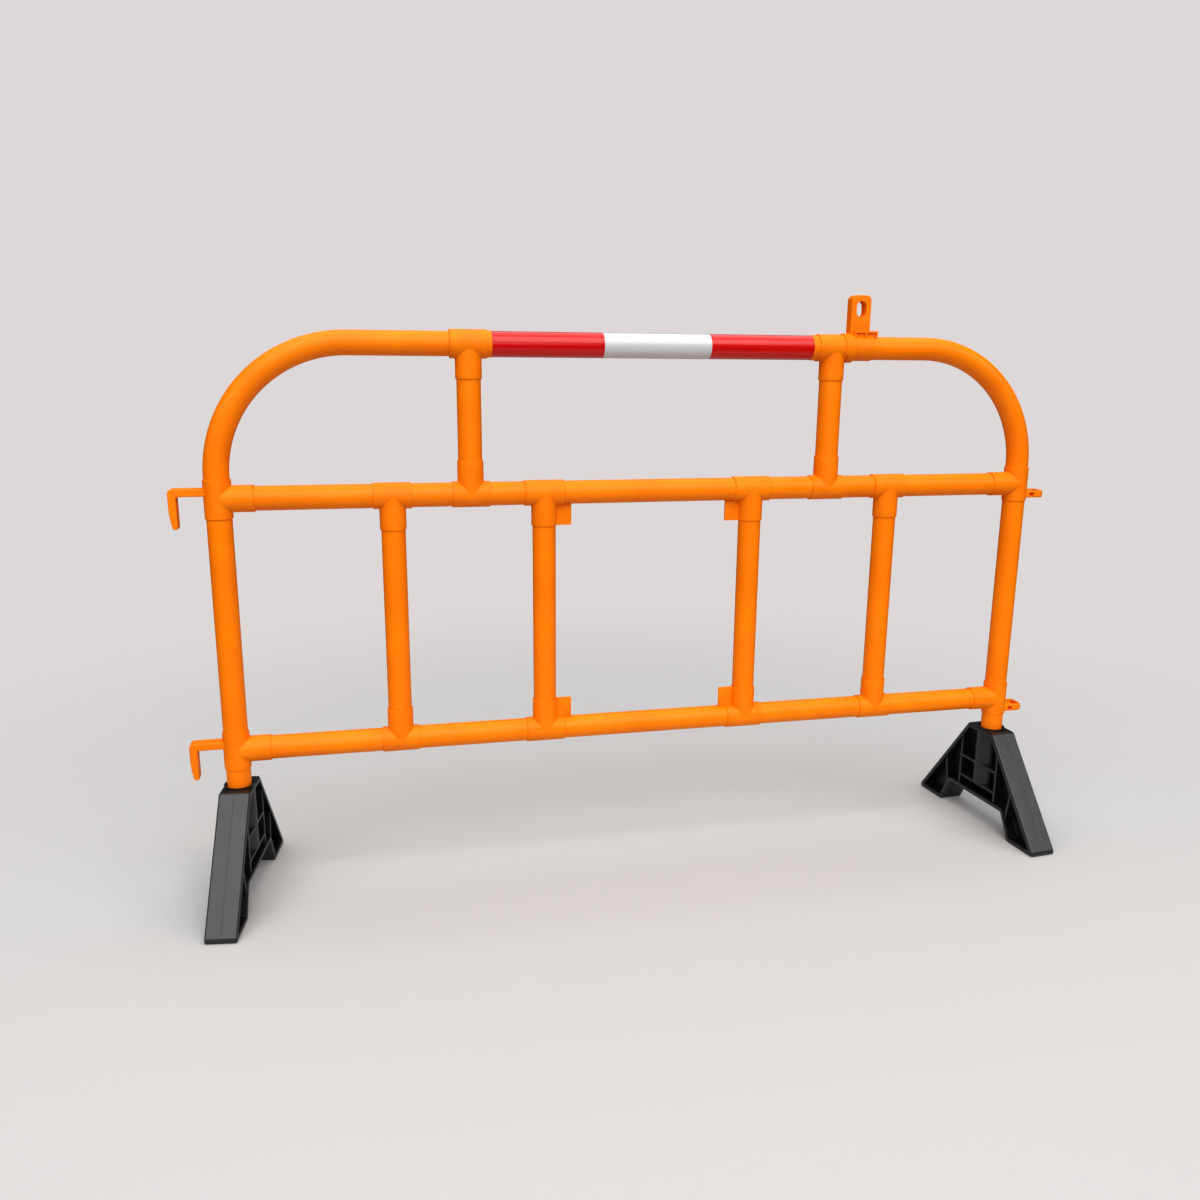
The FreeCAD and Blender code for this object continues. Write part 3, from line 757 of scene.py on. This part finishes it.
def combined(name, mesh, steps):
    """A mesh with others cut from it (DIFFERENCE) or joined to it (UNION), in order.

    The work is done at a thousand times the size, where the fine roundings are told apart.
    """
    mesh.transform(Matrix.Scale(1 / MM, 4))
    host = new_object(name + "_host", mesh)
    helpers = []
    for operation, other in steps:
        other.transform(Matrix.Scale(1 / MM, 4))
        helper = new_object(name + "_helper", other)
        helpers.append(helper)
        modifier = host.modifiers.new(operation.lower(), "BOOLEAN")
        modifier.operation = operation
        modifier.object = helper
        modifier.solver = "EXACT"
    made = applied(host, name)
    made.data.transform(Matrix.Scale(MM, 4))
    for helper in helpers:
        bpy.data.objects.remove(helper)
    return made


def hook_outline():
    """The hook from its side: out along the arm, round the corner and down the leg to its tip."""
    outer = HOOK_REACH
    inner = outer - HOOK_THICKNESS
    taper_top = HOOK_TAPER_LENGTH - HOOK_DROP
    lean = HOOK_THICKNESS - HOOK_TIP
    back_radius = (HOOK_TAPER_LENGTH ** 2 + lean ** 2) / (2 * lean)
    back_turn = math.asin(HOOK_TAPER_LENGTH / back_radius)
    taper = []
    for step in range(1, HOOK_TAPER_STEPS):
        turn = back_turn * step / HOOK_TAPER_STEPS
        taper.append((outer - back_radius * (1 - math.cos(turn)),
                      taper_top - back_radius * math.sin(turn), 0))
    return outline_of([
        (LINK_ROOT, HOOK_ARM_TOP, 0), (LINK_ROOT, HOOK_ARM_TOP - HOOK_THICKNESS, 0),
        (inner, HOOK_ARM_TOP - HOOK_THICKNESS, HOOK_CROOK), (inner, -HOOK_DROP, HOOK_TIP_CORNER),
        (outer - lean, -HOOK_DROP, HOOK_TIP_CORNER), *taper[::-1], (outer, taper_top, 0),
        (outer, HOOK_ARM_TOP, HOOK_CORNER)])


def hook(name, matrix):
    """A bent arm in the barrier's plane: its outline's X runs out from the post, and its Y up."""
    upright = matrix @ Matrix.Rotation(math.pi / 2, 4, "X")
    blank = slab(name, hook_outline(), HOOK_WIDTH / 2, HOOK_EDGE, upright)
    run = rod(name, LINK_ROOT_RADIUS, -CUT_REACH, CUT_REACH, matrix)
    return combined(name, blank, [("DIFFERENCE", run)])


def eye(name, matrix):
    """A flat loop with an upright slot, for a hook's leg, and a pocket in each side near the post."""
    half = EYE_SLOT_WIDTH / 2 + EYE_SIDE_WALL
    slot_end = EYE_REACH - EYE_OUTER_WALL
    slot_start = slot_end - EYE_SLOT_LENGTH
    level = matrix @ Matrix.Translation((0, 0, -EYE_BELOW))
    loop = outline_of([
        (LINK_ROOT, -half, 0), (EYE_REACH, -half, EYE_CORNER), (EYE_REACH, half, EYE_CORNER),
        (LINK_ROOT, half, 0)])
    slot = outline_of([(x, y, EYE_SLOT_CORNER) for x, y in (
        (slot_start, -EYE_SLOT_WIDTH / 2), (slot_end, -EYE_SLOT_WIDTH / 2),
        (slot_end, EYE_SLOT_WIDTH / 2), (slot_start, EYE_SLOT_WIDTH / 2))])
    pocket_end = slot_start - EYE_POCKET_WALL
    tall = EYE_POCKET_HEIGHT / 2
    pocket = outline_of([(x, y, tall * EYE_POCKET_ROUNDNESS) for x, y in (
        (EYE_POCKET_START, -tall), (pocket_end, -tall), (pocket_end, tall),
        (EYE_POCKET_START, tall))])
    cuts = [("DIFFERENCE", slab(name, slot, EYE_HEIGHT, EYE_SLOT_EDGE, level)),
            ("DIFFERENCE", rod(name, LINK_ROOT_RADIUS, -CUT_REACH, CUT_REACH, matrix))]
    for side in (-1, 1):
        sunk = Matrix.Translation((0, side * half, 0)) @ Matrix.Rotation(math.pi / 2, 4, "X")
        cuts.append(("DIFFERENCE", slab(name, pocket, EYE_POCKET_DEPTH, EYE_POCKET_EDGE, level @ sunk)))
    return combined(name, slab(name, loop, EYE_HEIGHT / 2, EYE_EDGE, level), cuts)


def end_tee(cad_node, side, make_link):
    """A tee on a corner post, its branch towards the rail and its hook or eye pointing out."""
    low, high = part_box(cad_node)
    rail_z = rail_height(cad_node.split("_")[0])
    post_x = post_axis(side)
    length = high.x - post_x if side < 0 else post_x - low.x
    place = Matrix.Translation((post_x, 0, rail_z))
    on_post = Matrix(((0, 0, -side), (0, side, 0), (1, 0, 0))).to_4x4()
    name = cad_node + "_fitting"
    body = tee(name, place @ on_post, high.z - rail_z, BRANCH_OD / 2, length, BRANCH_OD / 2)
    outwards = place if side > 0 else place @ Matrix.Rotation(math.pi, 4, "Z")
    link = make_link(cad_node + "_link", outwards)
    made = combined(name, body, [("UNION", link.data)])
    bpy.data.objects.remove(link)
    stand_for(evenly_shaded(made, END_TEE_CREASE), cad_node)


# ---- feet and lamp bracket ----

def softened(made, edge, cad_node):
    """Rounds the edges that are still sharp, and evens out the shading round them."""
    rounded = mould_edges(made, edge, MOULDING_SHARP)
    stand_for(evenly_shaded(rounded, MOULDING_CREASE), cad_node)


def bar(name, start, end, thickness, half_width, edge, matrix):
    """A straight rib between two points of the foot's side view."""
    a, b = Vector(start), Vector(end)
    on = (b - a).normalized() * (thickness / 2)
    left = Vector((-on.y, on.x))
    corners = [a - left, b - left, b + left, a + left]
    return slab(name, [tuple(c) for c in corners], half_width, edge, matrix)


def foot(cad_node):
    """Two splayed legs over an arch: a web inside a rim, ribs on both sides, a socket in the middle."""
    low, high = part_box(cad_node)
    fall = (FOOT_HEIGHT - FOOT_TOE_HEIGHT) / (FOOT_HALF_LENGTH - FOOT_TOP_HALF)
    lean = math.atan(fall)

    def slope_z(y):
        return FOOT_HEIGHT - (y - FOOT_TOP_HALF) * fall

    def both_sides(half):
        return half + [(-y, *rest) for y, *rest in reversed(half)]

    outline = outline_of(both_sides([
        (ARCH_HALF, ARCH_HEIGHT, ARCH_CORNER), (FOOT_HEEL_HALF, 0, FOOT_SOLE_CORNER),
        (FOOT_HALF_LENGTH, 0, FOOT_SOLE_CORNER), (FOOT_HALF_LENGTH, FOOT_TOE_HEIGHT, FOOT_TOE_CORNER),
        (FOOT_TOP_HALF, FOOT_HEIGHT, FOOT_TOP_CORNER)]))
    blank = slab(cad_node, outline, FOOT_HALF_WIDTH, FOOT_RIM, ACROSS)

    point_y = FOOT_HALF_LENGTH + FOOT_TOE_HEIGHT / fall
    hollow = inset(both_sides([
        (ARCH_HALF, ARCH_HEIGHT), (FOOT_HEEL_HALF, 0), (point_y, 0), (FOOT_TOP_HALF, FOOT_HEIGHT)]),
        FOOT_WALL)
    hollow = outline_of([(p.x, p.y, HOLLOW_CORNER) for p in hollow])
    steps = []
    for side in (-1, 1):
        aside = Matrix.Translation((0, 0, side * (FOOT_HALF_WEB + FOOT_HALF_WIDTH)))
        steps.append(("DIFFERENCE", slab(
            cad_node, hollow, FOOT_HALF_WIDTH, HOLLOW_EDGE, ACROSS @ aside)))

    ribs = [((-INNER_RIB_Y, z), (INNER_RIB_Y, z)) for z in RIB_LEVELS]
    heel_z = ARCH_HEIGHT * (FOOT_HEEL_HALF - TOE_RIB_Y[0]) / (FOOT_HEEL_HALF - ARCH_HALF)
    for side in (-1, 1):
        ribs.append(((side * INNER_RIB_Y, ARCH_HEIGHT + RIB_ROOT),
                     (side * INNER_RIB_Y, slope_z(INNER_RIB_Y) - RIB_ROOT)))
        ribs.append(((side * TOE_RIB_Y[0], heel_z + TOE_RIB_ROOT),
                     (side * TOE_RIB_Y[1], slope_z(TOE_RIB_Y[1]) - RIB_ROOT)))
    for start, end in ribs:
        steps.append(("UNION", bar(
            cad_node, start, end, RIB_THICKNESS, RIB_HALF_WIDTH, RIB_EDGE, ACROSS)))

    sunk = PARTING_WIDTH / 2 - PARTING_HEIGHT
    for side in (-1, 1):
        ends = [(side * y - side * sunk * math.sin(lean), slope_z(y) - sunk * math.cos(lean))
                for y in (FOOT_TOP_HALF + PARTING_SHORT, FOOT_HALF_LENGTH - PARTING_SHORT)]
        steps.append(("UNION", bar(
            cad_node, *ends, PARTING_WIDTH, PARTING_WIDTH / 2, PARTING_EDGE, ACROSS)))

    upright = Matrix.Identity(4)
    rim_z = high.z
    widening = (FOOT_MOUTH_RADIUS - FOOT_BORE_RADIUS) / FOOT_MOUTH_DEPTH
    bore = [(FOOT_BORE_RADIUS, FOOT_SOCKET_FLOOR), (FOOT_BORE_RADIUS, rim_z - FOOT_MOUTH_DEPTH),
            (FOOT_MOUTH_RADIUS + CUT_BEYOND * widening, rim_z + CUT_BEYOND)]
    steps.append(("UNION", rod(cad_node, FOOT_SOCKET_RADIUS, RIB_LEVELS[0], rim_z, upright)))
    steps.append(("DIFFERENCE", turned(cad_node, bore, upright)))

    made = combined(cad_node + "_moulding", blank, steps)
    made.data.transform(Matrix.Translation(((low.x + high.x) / 2, 0, 0))
                        @ Matrix.Rotation(math.radians(FOOT_TURN[cad_node]), 4, "Z"))
    softened(made, FOOT_EDGE, cad_node)


def bracket():
    """The bracket's own shape with its ledge filled in, set back a little from the ribs' edges."""
    low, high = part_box("lamp_bracket")
    along = Matrix.Translation((0, 0, rail_height("top"))) @ ACROSS
    half = LEDGE_HALF_DEPTH - LEDGE_RECESS
    under = outline_of([(-half, LEDGE_ROOT, 0), (half, LEDGE_ROOT, 0), (half, LEDGE_UNDERSIDE, 0),
                        (-half, LEDGE_UNDERSIDE, 0)])
    left, right = high.x - LEDGE_LENGTH, high.x - LEDGE_END
    middle = Matrix.Translation((0, 0, (left + right) / 2))
    block = slab("filling", under, (right - left) / 2, LEDGE_EDGE, along @ middle)
    clearance = rod("filling", RAIL_CLEARANCE, low.x - CUT_REACH, high.x + CUT_REACH, along)
    filling = combined("filling", block, [("DIFFERENCE", clearance)])
    shape = welded("lamp_bracket", "lamp_bracket_shape")
    made = combined("lamp_bracket_moulding", shape, [("UNION", filling.data)])
    bpy.data.objects.remove(filling)
    softened(made, BRACKET_EDGE, "lamp_bracket")


# ---- the barrier ----

for level in ("mid_rail", "bottom_rail", "top_rail"):
    straight_pipe(level)
for side, sign in (("left", -1), ("right", 1)):
    corner_pipe("corner_post_" + side, sign)
    straight_pipe("upper_post_" + side)
    straight_pipe("lower_post_outer_" + side)
    straight_pipe("lower_post_inner_" + side)
    rail_tee("mid_tee_upper_" + side)
    rail_tee("mid_tee_outer_" + side)
    rail_tee("bottom_tee_outer_" + side)
    rail_tee("top_tee_" + side, seat_side=-sign)
    film("film_red_" + side)
    foot("foot_" + side)
    copied("top_bush_" + side, FITTING_EDGE)
    copied("mid_tab_tee_" + side, FITTING_EDGE)
    copied("bottom_tab_tee_" + side, FITTING_EDGE)
film("film_white")
for level in ("mid", "bottom"):
    end_tee(level + "_hook_tee", -1, hook)
    end_tee(level + "_eye_tee", 1, eye)
bracket()


# ---- studio ----

# Metres, radians and, for the lens and the sensor, millimetres
CAMERA_PLACE = Vector((-0.4940, -1.8212, 0.9480))
CAMERA_HEADING = 0.222
CAMERA_PITCH = -0.2266
CAMERA_ROLL = 0.0077
CAMERA_LENS = 30.79
CAMERA_SENSOR = 36
BACKDROP = "#C1BDBD"
FILL = "#525254"
FLOOR_RADIUS = 4.0
FLOOR_FADE = (0.8, 2.3)
FLOOR_SIDES = 128
# Name, place, the point it faces, width, height and watts
SOFTBOXES = [
    ("key", (-0.6, -4.6, 6.0), (0, 0, 0.4), 9.0, 6.4, 425),
    ("overhead", (0.2, 1.6, 4.5), (0.2, 1.6, 0), 7.0, 4.6, 112),
    ("left", (-4.2, -2.4, 2.6), (-0.2, 0, 0.4), 2.2, 2.0, 22),
    ("front", (-0.6, -4.6, 1.6), (0, 0, 0.5), 3.0, 1.6, 20),
    ("right", (4.2, -3.2, 3.2), (0.8, 0, 0.1), 2.4, 2.0, 42),
]


def camera():
    """Stands in front of the left half, turned towards the right end and tipped down a little."""
    forward = Vector((math.sin(CAMERA_HEADING) * math.cos(CAMERA_PITCH),
                      math.cos(CAMERA_HEADING) * math.cos(CAMERA_PITCH), math.sin(CAMERA_PITCH)))
    level = Vector((math.cos(CAMERA_HEADING), -math.sin(CAMERA_HEADING), 0))
    upright = level.cross(forward)
    across = level * math.cos(CAMERA_ROLL) + upright * math.sin(CAMERA_ROLL)
    up = upright * math.cos(CAMERA_ROLL) - level * math.sin(CAMERA_ROLL)
    data = bpy.data.cameras.new("camera")
    data.sensor_width = CAMERA_SENSOR
    data.lens = CAMERA_LENS
    made = new_object("camera", data)
    turn = Matrix((across, up, -forward)).transposed().to_4x4()
    made.matrix_world = Matrix.Translation(CAMERA_PLACE) @ turn
    bpy.context.scene.camera = made


def softbox(name, place, target, width, height, power):
    """A rectangular light that faces its target."""
    data = bpy.data.lights.new(name, "AREA")
    data.shape = "RECTANGLE"
    data.size = width
    data.size_y = height
    data.energy = power
    made = new_object(name, data)
    made.location = place
    made.rotation_euler = (Vector(target) - Vector(place)).to_track_quat("-Z", "Y").to_euler()


def floor():
    """A pale paper floor under the barrier that fades into the backdrop's even tone."""
    work = bmesh.new()
    bmesh.ops.create_circle(work, cap_ends=True, radius=FLOOR_RADIUS, segments=FLOOR_SIDES)
    mesh = bpy.data.meshes.new("floor")
    work.to_mesh(mesh)
    work.free()
    made = new_object("floor", mesh)
    material, tree = new_material("pale_paper")
    place = add(tree, "ShaderNodeTexCoord").outputs["Object"]
    distance = add(tree, "ShaderNodeVectorMath", {"operation": "LENGTH"}, {"Vector": place})
    fade = add(tree, "ShaderNodeMapRange", {"interpolation_type": "SMOOTHERSTEP"}, {
        "Value": distance, "From Min": FLOOR_FADE[0], "From Max": FLOOR_FADE[1],
        "To Min": 1.0, "To Max": 0.0})
    principled(tree, {"Base Color": linear("#C6C5C4"), "Roughness": 0.9, "Alpha": fade})
    mesh.materials.append(material)


def studio():
    """Pale all round to the eye, with soft light from above and from in front of the barrier."""
    world = bpy.data.worlds.new("studio")
    bpy.context.scene.world = world
    world.use_nodes = True
    tree = world.node_tree
    tree.nodes.clear()
    seen = add(tree, "ShaderNodeLightPath").outputs["Is Camera Ray"]
    tone = add(tree, "ShaderNodeMix", {"data_type": "RGBA"}, {
        "Factor_Float": seen, "A_Color": linear(FILL), "B_Color": linear(BACKDROP)})
    background = add(tree, "ShaderNodeBackground", inputs={"Color": tone})
    add(tree, "ShaderNodeOutputWorld", inputs={"Surface": background})
    for box in SOFTBOXES:
        softbox(*box)
    bpy.context.scene.view_settings.view_transform = "Standard"
    bpy.context.scene.view_settings.look = "High Contrast"


camera()
studio()
floor()
